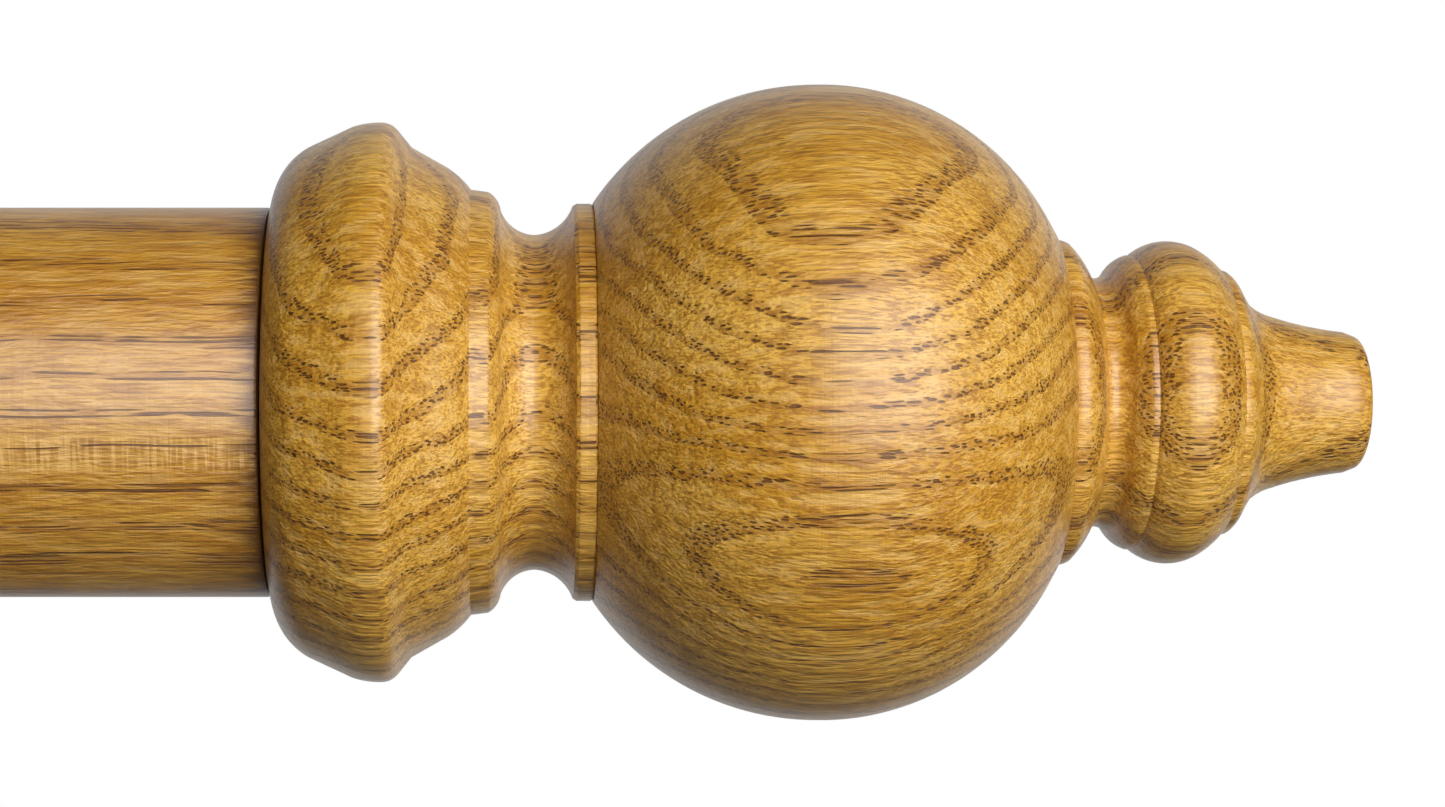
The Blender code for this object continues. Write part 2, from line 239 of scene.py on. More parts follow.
def growth_years(wood, depth, height, phase=0.0, slope=0.0, lift=0.0, bowl=0.0, saddle=0.0, twist=0.0,
                 swell=0.0, pinch=0.0, clover=0.0, cross=0.0, tilted_cross=0.0, fold=0.0):
    """The years' field from two distances across the grain: depth towards the room, and height.

    Swell steepens the slope away from the middle, and pinch does the same to the saddle. A fold makes the
    far half of the wood a mirror image of the near half, with a soft bend between.
    """
    if fold:
        depth = wood.math("SQRT", depth * depth + fold)
    square = depth * depth
    rise = height * height
    around = square + rise
    stretch = square - rise
    diagonal = depth * height * 2
    years = (around * swell + slope) * depth + height * lift
    years = years + around * bowl + (around * pinch + saddle) * stretch + diagonal * twist
    years = years + depth * (square - rise * 3) * clover
    four_arms = stretch * stretch - diagonal * diagonal
    years = years + four_arms * cross + diagonal * stretch * (2 * tilted_cross)
    return years + (50.0 + phase)


# %% [markdown]
# *Vessels* are the cells of a flat Voronoi pattern across the grain, drawn only in the early wood. A slow
# wander moves everything sideways along the piece, as grain does, and a second noise stops each tube now
# and then, which together break the tubes into dashes. *Fibre* is fine noise drawn out along the grain.
# *Rays* are thin sheets that run from the pith outwards: where the surface lies along them they show as
# short pale bars across the grain. The stain gathers in the pores, and a satin varnish lies on top.

# %% The oak finish
HONEY = srgb(236, 185, 76)
GOLD = srgb(214, 157, 42)
TAN = srgb(158, 99, 18)
PORE = srgb(128, 78, 14)
VESSEL = srgb(114, 66, 14)
RAY = srgb(240, 196, 112)


def tubes(wood, across, density, least, spread):
    """Round tubes along the grain, one to a Voronoi cell: density is how many fit in a millimetre."""
    distance = wood.node("TexVoronoi", {"voronoi_dimensions": "2D"}, {"Vector": across, "Scale": density},
                         "Distance")
    size = wood.node("SeparateColor", {}, {0: distance.output("Color")}) * spread + least
    return 1 - wood.fade(distance, size - 0.1, size + 0.06)


def oak(name, centre, turn, seed, field, band=0.38, stain_and_shade=0.0, ray_band=None, painted_shade_ends=None):
    """Golden oak. After the turn, X runs along the grain. Band is how strongly early wood darkens."""
    wood = Finish(name)
    place = wood.place(centre, turn)
    seeded = wood.vector("ADD", place, (97.0 * seed, 31.0 * seed, 53.0 * seed))
    drift = wood.vector("SUBTRACT", wood.noise(seeded, (0.035, 0.09, 0.09), 2.0, "Color"), (0.5, 0.5, 0.5))
    grain = wood.vector("ADD", place, wood.vector("MULTIPLY", drift, (0, 2.4, 2.4)))
    y = wood.node("SeparateXYZ", {}, {0: grain}, "Y")
    z = y.output("Z")

    years = growth_years(wood, y * (-1 / FIELD_UNIT), z * (1 / FIELD_UNIT), **field)
    years = years + (wood.noise(seeded, (0.012, 0.05, 0.05), 1.0) - 0.5) * 1.0
    age = wood.math("FRACT", years)
    early = wood.fade(age, 0.0, 0.06) * (1 - wood.fade(age, 0.16, 0.42))

    across = wood.node("CombineXYZ", {}, {0: y, 1: z})
    vessels = tubes(wood, across, 2.1, 0.2, 0.16) * wood.fade(early, 0.1, 0.45)
    vessels = vessels * wood.fade(wood.noise(seeded, (0.17, 1.2, 1.2), 1.0), 0.36, 0.5)
    pores = tubes(wood, across, 3.3, 0.12, 0.2)
    pores = pores * wood.fade(wood.noise(seeded, (0.15, 0.8, 0.8), 2.0), 0.42, 0.6)

    fibre = wood.noise(grain, (0.22, 3.4, 3.4), 3.0)
    mottle = wood.noise(grain, (0.12, 0.85, 0.85), 4.0)
    nap = wood.noise(grain, (0.6, 2.2, 2.2), 3.0)
    cloud = wood.fade(wood.noise(seeded, (0.03, 0.06, 0.06), 2.0), 0.32, 0.68)

    color = wood.blend(cloud, GOLD, HONEY)
    color = wood.blend(wood.fade(fibre, 0.47, 0.58) * 0.62, color, TAN)
    color = wood.blend(wood.fade(mottle, 0.50, 0.65) * 0.33, color, TAN)
    color = wood.blend(wood.fade(1 - mottle, 0.49, 0.64) * 0.48, color, RAY)
    # A whole piece can be darkened as well: partly a real difference in its wood, partly painted shade.
    color = wood.blend(early * band + stain_and_shade, color, TAN)
    if ray_band:
        bars = wood.fade(wood.noise(seeded, (2.2, 0.4, 0.14), 1.0), 0.42, 0.62)
        level = wood.node("SeparateXYZ", {}, {0: place}, "Z")
        inside = 1 - wood.fade(abs(level - ray_band), 1.2, 2.6)
        color = wood.blend(bars * inside * 0.5, color, RAY)
    color = wood.blend(pores * 0.5, color, PORE)
    color = wood.blend(vessels * 0.92, color, VESSEL)
    # Painted shade: the last few millimetres of each end, where the pole meets a collar, are darkened in
    # streaks.
    if painted_shade_ends:
        from_end = painted_shade_ends - abs(wood.node("SeparateXYZ", {}, {0: place}, "X"))
        streak = wood.math("MAXIMUM", wood.noise(seeded, (0.02, 0.9, 0.9), 1.0) * 16 - 5.5, 1.2)
        color = wood.blend((1 - wood.fade(from_end, 0.0, streak)) * 0.8, color, VESSEL)

    lathe_lines = wood.noise(place, (3.0, 0.02, 0.02), 1.0)
    rough = 0.36 + fibre * 0.14 + vessels * 0.1
    relief = fibre * 0.3 + mottle * 0.9 + nap * 0.7 + lathe_lines * 0.12 - vessels * 0.7
    bump = wood.node("Bump", {}, {"Strength": 0.95, "Distance": 0.0004, "Height": relief})
    wood.set(Base_Color=color, Roughness=rough, Normal=bump, Coat_Weight=0.75, Coat_Roughness=0.3)
    return wood.material


# %% [markdown]
# A finial's collar, ball and tip are turned from three blanks of the same oak. The collar's rings lie
# aslant, the ball's are lobed, and the tip's stand one behind another, so ovals face the room. The pole is
# quarter sawn: its rings cross the front nearly level, which draws straight streaks, and one band of rays
# shows along it. Bracket pieces are turned or sawn from offcuts, each with its own grain.
#
# Where the terms come from: the ball's are a least-squares fit, rounded, to the rows of pores on a real
# turned ball, all but its phase and its fold. The collar's slope and lift and the tip's slope and phase
# were worked out from the spacing of a few rows. The rest were chosen.

# %% Choose the wood for each piece
BALL_LOG = dict(phase=0.31, lift=-0.6, bowl=13.8, twist=4.8, swell=-15.5, pinch=10.2, clover=-7.5,
                cross=3.1, tilted_cross=1.3, fold=0.006)
COLLAR_LOG = dict(slope=6.2, lift=7.4, bowl=0.5)
TIP_LOG = dict(phase=0.23, slope=6.3, lift=0.6)
POLE_LOG = dict(slope=0.8, lift=8.6, bowl=0.4, twist=0.4)
ARM_LOG = dict(slope=4.5, lift=7.5, bowl=2.5, saddle=1.5, twist=1.0)
BOARD_LOG = dict(slope=2.6, lift=3.2, bowl=2.2, saddle=1.8, twist=1.6)
QUARTER = math.radians(90)
finial_oak = {}
for number, side in enumerate(("right", "left")):
    for part, log in (("collar", COLLAR_LOG), ("ball", BALL_LOG), ("tip", TIP_LOG)):
        finial_oak[side, part] = oak(f"oak_{side}_{part}", finial_seat[side], (0, 0, 0), 1 + number, log)
# The pole is darkened throughout: partly its own darker wood, partly painted shade for lying further from the
# key light than the finial.
pole_oak = oak("oak_pole", pole_middle, (0, 0, 0), 3, POLE_LOG, band=0.2, stain_and_shade=0.32, ray_band=-6.3,
               painted_shade_ends=(pole_high.x - pole_low.x) / 2 / MM)
rose_oak = {side: oak(f"oak_{side}_rose", wall_seat[side], (0, QUARTER, 0), seed, BOARD_LOG)
            for side, seed in (("right", 4), ("left", 5))}
arm_oak = {side: oak(f"oak_{side}_arm", wall_seat[side], (0, 0, QUARTER), seed, ARM_LOG)
           for side, seed in (("right", 6), ("left", 7))}
cradle_oak = {side: oak(f"oak_{side}_cradle", cradle_seat[side], (0, QUARTER, 0), seed, BOARD_LOG)
              for side, seed in (("right", 8), ("left", 9))}
print("oak finishes:", [m.name for m in bpy.data.materials if m.name.startswith("oak_")])

# %% [markdown]
# The fittings are solid brass, turned and left satin. Fine lines run round each piece from the cutting
# tool, fingers have polished some places and dulled others, and a faint brown tarnish sits in patches.
# The steel of the finials' bolts is zinc plated, which mottles in pale blue and straw.

# %% The brass and steel finishes
BRASS = srgb(232, 196, 124)
TARNISH = srgb(150, 106, 52)
ZINC = srgb(196, 200, 206)
STRAW = srgb(186, 180, 160)


def metal(name, clean, aged, base_rough, lines):
    """Turned metal: lines is how fast the tool marks change along each axis."""
    surface = Finish(name)
    place = surface.place((0, 0, 0))
    patches = surface.fade(surface.noise(place, (0.16, 0.16, 0.16), 4.0), 0.45, 0.75)
    rubbed = surface.noise(place, (0.7, 0.7, 0.7), 3.0)
    marks = surface.noise(place, lines, 2.0)
    color = surface.blend(patches * 0.5, clean, aged)
    rough = base_rough + patches * 0.14 + rubbed * 0.12
    relief = marks * 0.6 + rubbed * 0.4
    bump = surface.node("Bump", {}, {"Strength": 0.25, "Distance": 0.00005, "Height": relief})
    surface.set(Base_Color=color, Roughness=rough, Normal=bump, Metallic=1.0)
    return surface.material


brass_upright = metal("brass_upright", BRASS, TARNISH, 0.26, (0.1, 0.1, 9.0))
brass_outward = metal("brass_outward", BRASS, TARNISH, 0.3, (0.1, 9.0, 0.1))
zinc_steel = metal("steel_zinc", ZINC, STRAW, 0.28, (9.0, 0.1, 0.1))

# %% [markdown]
# Wool felt lines the cradles, so that the pole doesn't mark. Felt has no weave: it is a mat of short
# fibres, so noise at two sizes gives the tufts, and a soft sheen gives the bloom at its edges. The dowels
# are plain beech, pale and close grained, with the short dark flecks that beech always has.

# %% The felt and beech finishes
FELT_DEEP = srgb(70, 50, 34)
FELT_PALE = srgb(122, 94, 68)
BEECH_PALE = srgb(214, 178, 138)
BEECH_FLECK = srgb(158, 112, 76)


def felt_finish():
    wool = Finish("felt_brown")
    place = wool.place((0, 0, 0))
    tufts = wool.noise(place, (2.2, 2.2, 2.2), 5.0)
    worn = wool.noise(place, (0.14, 0.14, 0.14), 2.0)
    mixed = wool.fade(tufts * 0.7 + worn * 0.3, 0.36, 0.66)
    bump = wool.node("Bump", {}, {"Strength": 0.8, "Distance": 0.0003, "Height": tufts})
    wool.set(Base_Color=wool.blend(mixed, FELT_DEEP, FELT_PALE), Roughness=0.86 + worn * 0.12, Normal=bump,
             Sheen_Weight=0.5, Sheen_Roughness=0.4)
    return wool.material


def beech_finish():
    wood = Finish("beech_plain")
    place = wood.place((0, 0, 0))
    flecks = wood.fade(wood.noise(place, (1.6, 1.6, 1.6), 1.0), 0.6, 0.7)
    fibre = wood.noise(place, (0.5, 0.5, 0.5), 4.0)
    color = wood.blend(flecks * 0.6 + fibre * 0.2, BEECH_PALE, BEECH_FLECK)
    bump = wood.node("Bump", {}, {"Strength": 0.2, "Distance": 0.0001, "Height": fibre - flecks * 0.3})
    wood.set(Base_Color=color, Roughness=0.5 + fibre * 0.2, Normal=bump)
    return wood.material


brown_felt = felt_finish()
beech = beech_finish()
print("other finishes:", brass_upright.name, brass_outward.name, zinc_steel.name, brown_felt.name, beech.name)

# %% [markdown]
# Almost every piece here left a lathe, so one tool makes them: an *outline*, the half section that the
# gouge follows, spun once round an axis. A stretch of an outline is (along, radius, rise) in millimetres;
# it runs to that point and bows out by the rise. Bowed stretches are cut into flats that stay within a
# few thousandths of a millimetre of the true arc, which is what makes a highlight run smoothly.

# %% Draw an outline
CHORD_ERROR = 0.006


def arc(start, end, rise):
    """The points of a bowed stretch after its start."""
    chord = end - start
    flats = max(1, math.ceil(math.sqrt(abs(rise) / CHORD_ERROR)))
    if flats == 1:
        return [end]
    side = Vector((-chord.y, chord.x)).normalized()
    radius = (chord.length_squared / 4 + rise * rise) / (2 * abs(rise))
    half_angle = math.asin(min(1.0, chord.length / 2 / radius))
    points = []
    for step in range(1, flats):
        angle = half_angle * (2 * step / flats - 1)
        out = radius * math.cos(angle) - (radius - abs(rise))
        point = (start + end) / 2 + chord.normalized() * radius * math.sin(angle)
        points.append(point + side * math.copysign(out, rise))
    return points + [end]


def outline(start, *stretches):
    points = [Vector(start)]
    for along, radius, *rise in stretches:
        points += arc(points[-1], Vector((along, radius)), sum(rise))
    return points


# %% [markdown]
# `turn` sweeps the outline once round and merges the seam. An outline that ends on the axis closes itself;
# one that doesn't is a ring, and its ends are joined first. `stand` then lays the piece along its own axis
# at its seat, and `finish_piece` turns the bmesh into an object that rides on a body of the frame.

# %% The lathe
WELD = 0.002 * MM


def turn(points, sides):
    """Spins an outline in millimetres once round the Z axis."""
    bm = bmesh.new()
    row = [bm.verts.new((p.y * MM, 0, p.x * MM)) for p in points]
    wires = [bm.edges.new(pair) for pair in zip(row, row[1:])]
    if min(points[0].y, points[-1].y) > 0:
        wires.append(bm.edges.new((row[-1], row[0])))
    bmesh.ops.spin(bm, geom=row + wires, cent=(0, 0, 0), axis=(0, 0, 1), dvec=(0, 0, 0),
                   angle=math.tau, steps=sides, use_merge=True, use_duplicate=False)
    bmesh.ops.remove_doubles(bm, verts=bm.verts, dist=WELD)
    bmesh.ops.recalc_face_normals(bm, faces=bm.faces)
    return bm


def stand(bm, seat, axis):
    """Moves a turned piece so that its Z axis leaves the seat along another axis."""
    lay = Vector((0, 0, 1)).rotation_difference(axis).to_matrix().to_4x4()
    bmesh.ops.transform(bm, matrix=Matrix.Translation(seat) @ lay, verts=bm.verts)
    return bm


def finish_piece(name, bm, material, body, nodes, sharp=30):
    """Makes a piece that rides on its body and stands for its CAD nodes."""
    bmesh.ops.recalc_face_normals(bm, faces=bm.faces)
    mesh = bpy.data.meshes.new(name)
    bm.to_mesh(mesh)
    bm.free()
    mesh.shade_smooth()
    mesh.set_sharp_from_angle(angle=math.radians(sharp))
    mesh.materials.append(material)
    piece = bpy.data.objects.new(name, mesh)
    bpy.context.scene.collection.objects.link(piece)
    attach(piece, body)
    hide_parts(*nodes)
    print(f"{name}: {len(mesh.polygons)} faces")
    return piece


# %% [markdown]
# The collar is the wide ring that hides the joint with the pole: a round back rim, a slope up to a soft
# ridge, a longer slope down, a square fillet, a deep cove and a second fillet. The ball and the tip are
# separate turnings that meet it end to end. The same three outlines serve both ends of the pole.

# %% Turn the finials
SMOOTH_SIDES = 160
COLLAR = outline(
    (0.0, 4.3), (0.0, 25.4), (4.5, 32.7, 1.1), (10.1, 35.3), (13.9, 35.85, 0.17),
    (15.9, 34.8, 0.25), (17.6, 32.7), (21.3, 30.6), (25.2, 27.3, 0.3),
    (27.4, 27.0), (29.0, 24.6, 0.35), (33.4, 21.5, -0.83), (38.2, 25.2, -0.9),
    (38.7, 25.5), (40.45, 25.5), (40.75, 25.3), (40.75, 4.3),
)
BALL = outline(
    (77.0, 0.0), (77.0, 4.3), (40.8, 4.3), (40.8, 25.6), (69.2, 40.67, 4.03),
    (98.2, 24.0, 4.62), (99.0, 22.6), (99.2, 22.0), (99.2, 4.3), (86.8, 4.3), (86.8, 0.0),
)
TIP = outline(
    (111.5, 0.0), (111.5, 4.3), (99.25, 4.3), (99.25, 20.8), (101.3, 20.6, 0.2),
    (104.1, 16.2, 0.3), (107.0, 17.2, -0.68), (109.2, 18.9, 0.25), (109.8, 18.8),
    (110.1, 19.2), (118.0, 19.6, 1.3), (120.8, 17.1, 0.17), (121.5, 16.95),
    (122.7, 15.5, 0.17), (124.2, 13.1), (127.6, 11.1, -0.25), (137.0, 9.05, -0.25),
    (138.2, 8.6), (139.0, 7.6, 0.2), (139.0, 0.0),
)
for side, axis in outward.items():
    for part, points, body in (("collar", COLLAR, "collar_ring"), ("ball", BALL, "finial"),
                               ("tip", TIP, "finial")):
        bm = stand(turn(points, SMOOTH_SIDES), finial_seat[side], axis)
        finish_piece(f"{side}_turned_{part}", bm, finial_oak[side, part], f"{side}_{body}",
                     [f"{side}_{part}"])

# %% [markdown]
# The pole is a plain rod with a stepped bore in each end: wide for the brass insert, thin beyond it for
# the bolt. Half of the outline is drawn and the other half is its mirror image.

# %% Turn the pole
HALF = (pole_high.x - pole_low.x) / 2 / MM
POLE_RADIUS = (pole_high.z - pole_low.z) / 2 / MM
BOLT_HOLE_FLOOR = HALF - 34
BOLT_HOLE = 4.3
INSERT_FLOOR = HALF - 18.8
INSERT_HOLE = 6.3
EASED = 0.5
EASED_MIDDLE = 0.15
POLE_END = [(BOLT_HOLE_FLOOR, 0), (BOLT_HOLE_FLOOR, BOLT_HOLE), (INSERT_FLOOR, BOLT_HOLE),
            (INSERT_FLOOR, INSERT_HOLE), (HALF, INSERT_HOLE), (HALF, POLE_RADIUS - EASED),
            (HALF - EASED_MIDDLE, POLE_RADIUS - EASED_MIDDLE), (HALF - EASED, POLE_RADIUS)]
rod = [Vector((-x, r)) for x, r in POLE_END] + [Vector(p) for p in reversed(POLE_END)]
bm = stand(turn(rod, SMOOTH_SIDES), pole_middle, ALONG)
finish_piece("turned_pole", bm, pole_oak, "pole", ["pole"])

# %% [markdown]
# Holes are bored with the exact boolean: the drill is another turning, and the modifier is applied at
# once, so that the piece which is kept is plain mesh and the drill is thrown away.

# %% The drill
DRILL_SIDES = 48


def bored(bm, drills):
    """The bmesh with every drill's shape taken out of it."""
    scene_objects = bpy.context.scene.collection.objects
    blank_mesh = bpy.data.meshes.new("blank")
    bm.to_mesh(blank_mesh)
    blank = bpy.data.objects.new("blank", blank_mesh)
    scene_objects.link(blank)
    spent = [blank]
    for drill_bm in drills:
        drill_mesh = bpy.data.meshes.new("drill")
        drill_bm.to_mesh(drill_mesh)
        drill_bm.free()
        drill = bpy.data.objects.new("drill", drill_mesh)
        scene_objects.link(drill)
        spent.append(drill)
        bore = blank.modifiers.new("bore", "BOOLEAN")
        bore.operation = "DIFFERENCE"
        bore.solver = "EXACT"
        bore.object = drill
    bpy.context.view_layer.update()
    result = blank.evaluated_get(bpy.context.evaluated_depsgraph_get()).to_mesh()
    bm.clear()
    bm.from_mesh(result)
    for used in spent:
        bpy.data.objects.remove(used, do_unlink=True)
    bmesh.ops.remove_doubles(bm, verts=bm.verts, dist=WELD)
    return bm


# %% [markdown]
# The rose is the disc against the wall: a plain edge, a cove and a bead up to the flat ring that takes
# three countersunk screws, then a raised boss where the arm is dowelled on. It is faceplate turned, so its
# grain lies across it, top to bottom.

# %% Turn the wall roses
ROSE = outline(
    (0.0, 0.0), (0.0, 47.4), (0.6, 48.0, 0.15), (5.0, 48.0), (6.0, 46.8, 0.2), (9.0, 42.0, -1.0),
    (9.4, 42.0), (12.0, 39.6, 0.7), (12.0, 26.0), (15.5, 22.2, -0.8), (18.0, 20.0, 0.5),
    (18.0, 5.3), (8.0, 5.3), (8.0, 0.0),
)
ROSE_SIDES = 144
SCREW_RING = 33 * MM
ROSE_FLAT = 12 * MM
HEAD_RADIUS = 4.8
SHANK_RADIUS = 2.4
COUNTERSINK = [Vector(p) for p in ((-30, 0), (-30, 2.7), (-3.6, 2.7), (-0.8, 5.1), (6, 5.1), (6, 0))]


def screw_seat(side, number):
    angle = math.radians(90 + 120 * number)
    return wall_seat[side] + Vector((math.cos(angle), 0, math.sin(angle))) * SCREW_RING + OUT * ROSE_FLAT


for side in outward:
    drills = [stand(turn(COUNTERSINK, DRILL_SIDES), screw_seat(side, number), OUT) for number in range(3)]
    bm = bored(stand(turn(ROSE, ROSE_SIDES), wall_seat[side], OUT), drills)
    finish_piece(f"{side}_turned_rose", bm, rose_oak[side], "brackets", [f"{side}_rose"])

# %% [markdown]
# The arm carries the cradle out from the wall. It is a spindle turning with its grain along it: a bead, a
# long cove, a second bead and a small collar against the cradle. Blind sockets in its ends take dowels.

# %% Turn the arms
ARM_SIDES = 112
ARM = outline(
    (29.0, 0.0), (29.0, 5.3), (18.3, 5.3), (18.3, 17.0), (24.0, 17.0, 2.0), (25.0, 14.6),
    (39.0, 11.6, -2.0), (43.0, 12.4), (49.0, 13.2, 2.2), (50.5, 12.6), (54.0, 14.6, -0.6),
    (54.4, 15.4), (57.7, 15.4), (57.7, 5.3), (46.5, 5.3), (46.5, 0.0),
)
for side in outward:
    bm = stand(turn(ARM, ARM_SIDES), wall_seat[side], OUT)
    finish_piece(f"{side}_turned_arm", bm, arm_oak[side], "brackets", [f"{side}_arm"])

# %% [markdown]
# The cradle is a U sawn from a board, with a tall post on the wall's side, so that the pole can't roll
# back, and a low one in front, so that it can be lifted in. One travelling point draws the outline: it
# spins round the pole's axis, runs up a post, spins over its top, and so on round to where it began.
# The face that it encloses is extruded to the board's width, and both rims are rounded over.

# %% Shape the cradles
BORE = 26.8 * MM
REACH = 42 * MM
BOARD = 26 * MM
POST_HALF = (REACH - BORE) / 2
BACK_POST = 26 * MM
FRONT_POST = 6 * MM
ROUNDING = 2 * MM
ROUNDED_CUTS = 5
BORE_STEPS = 72
TOP_STEPS = 24


def travel(bm, point, rise):
    """Runs the travelling point straight up or down."""
    made = bmesh.ops.extrude_vert_indiv(bm, verts=[point])["verts"][0]
    bmesh.ops.translate(bm, verts=[made], vec=(0, 0, rise))
    return made


def swing(bm, point, centre, degrees, steps):
    """Spins the travelling point round a line along X."""
    swept = bmesh.ops.spin(bm, geom=[point], cent=centre, axis=(1, 0, 0), dvec=(0, 0, 0),
                           angle=math.radians(degrees), steps=steps, use_merge=False,
                           use_duplicate=False)
    return [item for item in swept["geom_last"] if isinstance(item, bmesh.types.BMVert)][0]


def sawn_cradle():
    """The cradle round the origin: X is along the pole and +Y is the wall's side."""
    bm = bmesh.new()
    point = bm.verts.new((-BOARD / 2, BORE, 0))
    point = swing(bm, point, (0, 0, 0), -180, BORE_STEPS)
    point = travel(bm, point, FRONT_POST)
    point = swing(bm, point, (0, -BORE - POST_HALF, FRONT_POST), 180, TOP_STEPS)
    point = travel(bm, point, -FRONT_POST)
    point = swing(bm, point, (0, 0, 0), 180, BORE_STEPS)
    point = travel(bm, point, BACK_POST)
    point = swing(bm, point, (0, BORE + POST_HALF, BACK_POST), 180, TOP_STEPS)
    travel(bm, point, -BACK_POST)
    bmesh.ops.remove_doubles(bm, verts=bm.verts, dist=WELD)
    face = bmesh.ops.contextual_create(bm, geom=bm.edges[:])["faces"]
    sawn = bmesh.ops.extrude_face_region(bm, geom=face)["geom"]
    bmesh.ops.translate(bm, vec=(BOARD, 0, 0), verts=[v for v in sawn if isinstance(v, bmesh.types.BMVert)])
    bmesh.ops.recalc_face_normals(bm, faces=bm.faces)
    rims = [e for e in bm.edges if max(len(f.verts) for f in e.link_faces) > 4]
    bmesh.ops.bevel(bm, geom=rims, affect="EDGES", offset=ROUNDING, offset_type="OFFSET",
                    segments=ROUNDED_CUTS, profile=0.5, material=-1, clamp_overlap=False)
    return bm


SOCKET = [Vector(p) for p in ((50, 0), (50, 5.3), (68, 5.3), (68, 0))]
LOCK_HOLE = [Vector(p) for p in ((-47, 0), (-47, 4.8), (-32.1, 4.8), (-32.1, 5.6), (-20, 5.6), (-20, 0))]
for side in outward:
    bm = sawn_cradle()
    bmesh.ops.translate(bm, vec=cradle_seat[side], verts=bm.verts)
    drills = [stand(turn(SOCKET, DRILL_SIDES), wall_seat[side], OUT),
              stand(turn(LOCK_HOLE, DRILL_SIDES), cradle_seat[side], UP)]
    bm = bored(bm, drills)
    finish_piece(f"{side}_sawn_cradle", bm, cradle_oak[side], "brackets", [f"{side}_cradle"])

# %% [markdown]
# The felt is a strip laid round the cradle's bore, with a hole for the locking pad. A rectangle spun
# through 160 degrees makes the strip, its ends are filled, and its edges are rounded as cut felt's are.

# %% Lay the felt
FELT_IN = 25.3 * MM
FELT_OUT = 26.5 * MM
FELT_HALF_WIDTH = 11 * MM
FELT_ANGLE = 160
FELT_STEPS = 90
FELT_EDGE = 0.35 * MM
FELT_HOLE = [Vector(p) for p in ((-30, 0), (-30, 5.9), (-20, 5.9), (-20, 0))]


def felt_strip():
    bm = bmesh.new()
    start = Matrix.Rotation(math.radians(-90 - FELT_ANGLE / 2), 4, "X")
    corners = [(-FELT_HALF_WIDTH, FELT_IN), (FELT_HALF_WIDTH, FELT_IN), (FELT_HALF_WIDTH, FELT_OUT),
               (-FELT_HALF_WIDTH, FELT_OUT)]
    section = bm.faces.new([bm.verts.new((x, r, 0)) for x, r in corners])
    bmesh.ops.transform(bm, matrix=start, verts=bm.verts)
    bmesh.ops.spin(bm, geom=[section], cent=(0, 0, 0), axis=(1, 0, 0), dvec=(0, 0, 0),
                   angle=math.radians(FELT_ANGLE), steps=FELT_STEPS, use_merge=False, use_duplicate=False)
    bmesh.ops.remove_doubles(bm, verts=bm.verts, dist=WELD)
    bmesh.ops.recalc_face_normals(bm, faces=bm.faces)
    corners = [e for e in bm.edges if len(e.link_faces) == 2 and e.calc_face_angle() > 1]
    bmesh.ops.bevel(bm, geom=corners, affect="EDGES", offset=FELT_EDGE, offset_type="OFFSET", segments=3,
                    profile=0.5, material=-1)
    return bm


for side in outward:
    bm = felt_strip()
    bmesh.ops.translate(bm, vec=cradle_seat[side], verts=bm.verts)
    bm = bored(bm, [stand(turn(FELT_HOLE, DRILL_SIDES), cradle_seat[side], UP)])
    finish_piece(f"{side}_felt_strip", bm, brown_felt, "brackets", [f"{side}_felt"])

# %% [markdown]
# A thread is a turning whose skin has been pushed in along a helix. The outline gets a row of points every
# few tenths of a millimetre, and each vertex then moves towards the axis by a depth that depends on how far
# along and how far round it is. That keeps the surface closed, where a swept helix would need stitching.


# %% Cut threads
def threaded(start, end, radius, pitch, cuts=8):
    """A straight stretch of outline with enough rows for a thread."""
    rows = math.ceil(abs(end - start) / pitch * cuts)
    return [Vector((start + (end - start) * row / rows, radius)) for row in range(rows + 1)]


def cut_thread(bm, start, end, radius, pitch, depth):
    """Pushes the skin in along a right-handed helix, fading out over the last turn at each end."""
    for vert in bm.verts:
        along = vert.co.z / MM
        reach = math.hypot(vert.co.x, vert.co.y) / MM
        if not start < along < end or abs(reach - radius) > 0.01:
            continue
        phase = (along / pitch - math.atan2(vert.co.y, vert.co.x) / math.tau) % 1
        groove = 1 - abs(2 * phase - 1)
        runout = min(1, (along - start) / pitch, (end - along) / pitch)
        inward = 1 - depth * groove * runout / reach
        vert.co.x *= inward
        vert.co.y *= inward


# %% [markdown]
# Each wall screw is a brass countersunk wood screw with a slotted head, a coarse thread and a drawn point.
# The slot is sawn across the head with a thin block, before the screw is put in its hole.

# %% Make the wall screws
SCREW_POINT = -45
SCREW_THREAD = (-39, -14)
SCREW_PITCH = 2.2
SCREW_THREAD_DEPTH = 0.65
SCREW_SIDES = 36
SLOT_WIDTH = 1.1
SLOT_DEPTH = 1.2
SAW_LENGTH = 20


def wall_screw(turn_degrees):
    points = [Vector((SCREW_POINT, 0))] + threaded(*SCREW_THREAD, SHANK_RADIUS, SCREW_PITCH)
    points += outline((-3.4, SHANK_RADIUS), (-0.6, HEAD_RADIUS), (-0.2, HEAD_RADIUS),
                      (0, HEAD_RADIUS - 0.2), (0, 0))
    bm = turn(points, SCREW_SIDES)
    cut_thread(bm, *SCREW_THREAD, SHANK_RADIUS, SCREW_PITCH, SCREW_THREAD_DEPTH)
    saw = bmesh.new()
    bmesh.ops.create_cube(saw, size=1)
    bmesh.ops.scale(saw, vec=(SAW_LENGTH * MM, SLOT_WIDTH * MM, 2 * SLOT_DEPTH * MM), verts=saw.verts)
    bmesh.ops.rotate(saw, cent=(0, 0, 0), matrix=Matrix.Rotation(math.radians(turn_degrees), 3, "Z"),
                     verts=saw.verts)
    return bored(bm, [saw])


SLOT_TURNS = (35, -20, 80)
for side in outward:
    for number, turn_degrees in enumerate(SLOT_TURNS):
        bm = stand(wall_screw(turn_degrees), screw_seat(side, number) - OUT * GAP, OUT)
        finish_piece(f"{side}_slotted_screw_{number + 1}", bm, brass_outward, "brackets",
                     [f"{side}_wall_screw_{number + 1}"])

# %% [markdown]
# The locking screw comes up through the cradle and presses a loose brass pad against the pole. Its head is
# knurled for the fingers: the rim is pushed in along many short flutes, with the same idea as the thread.

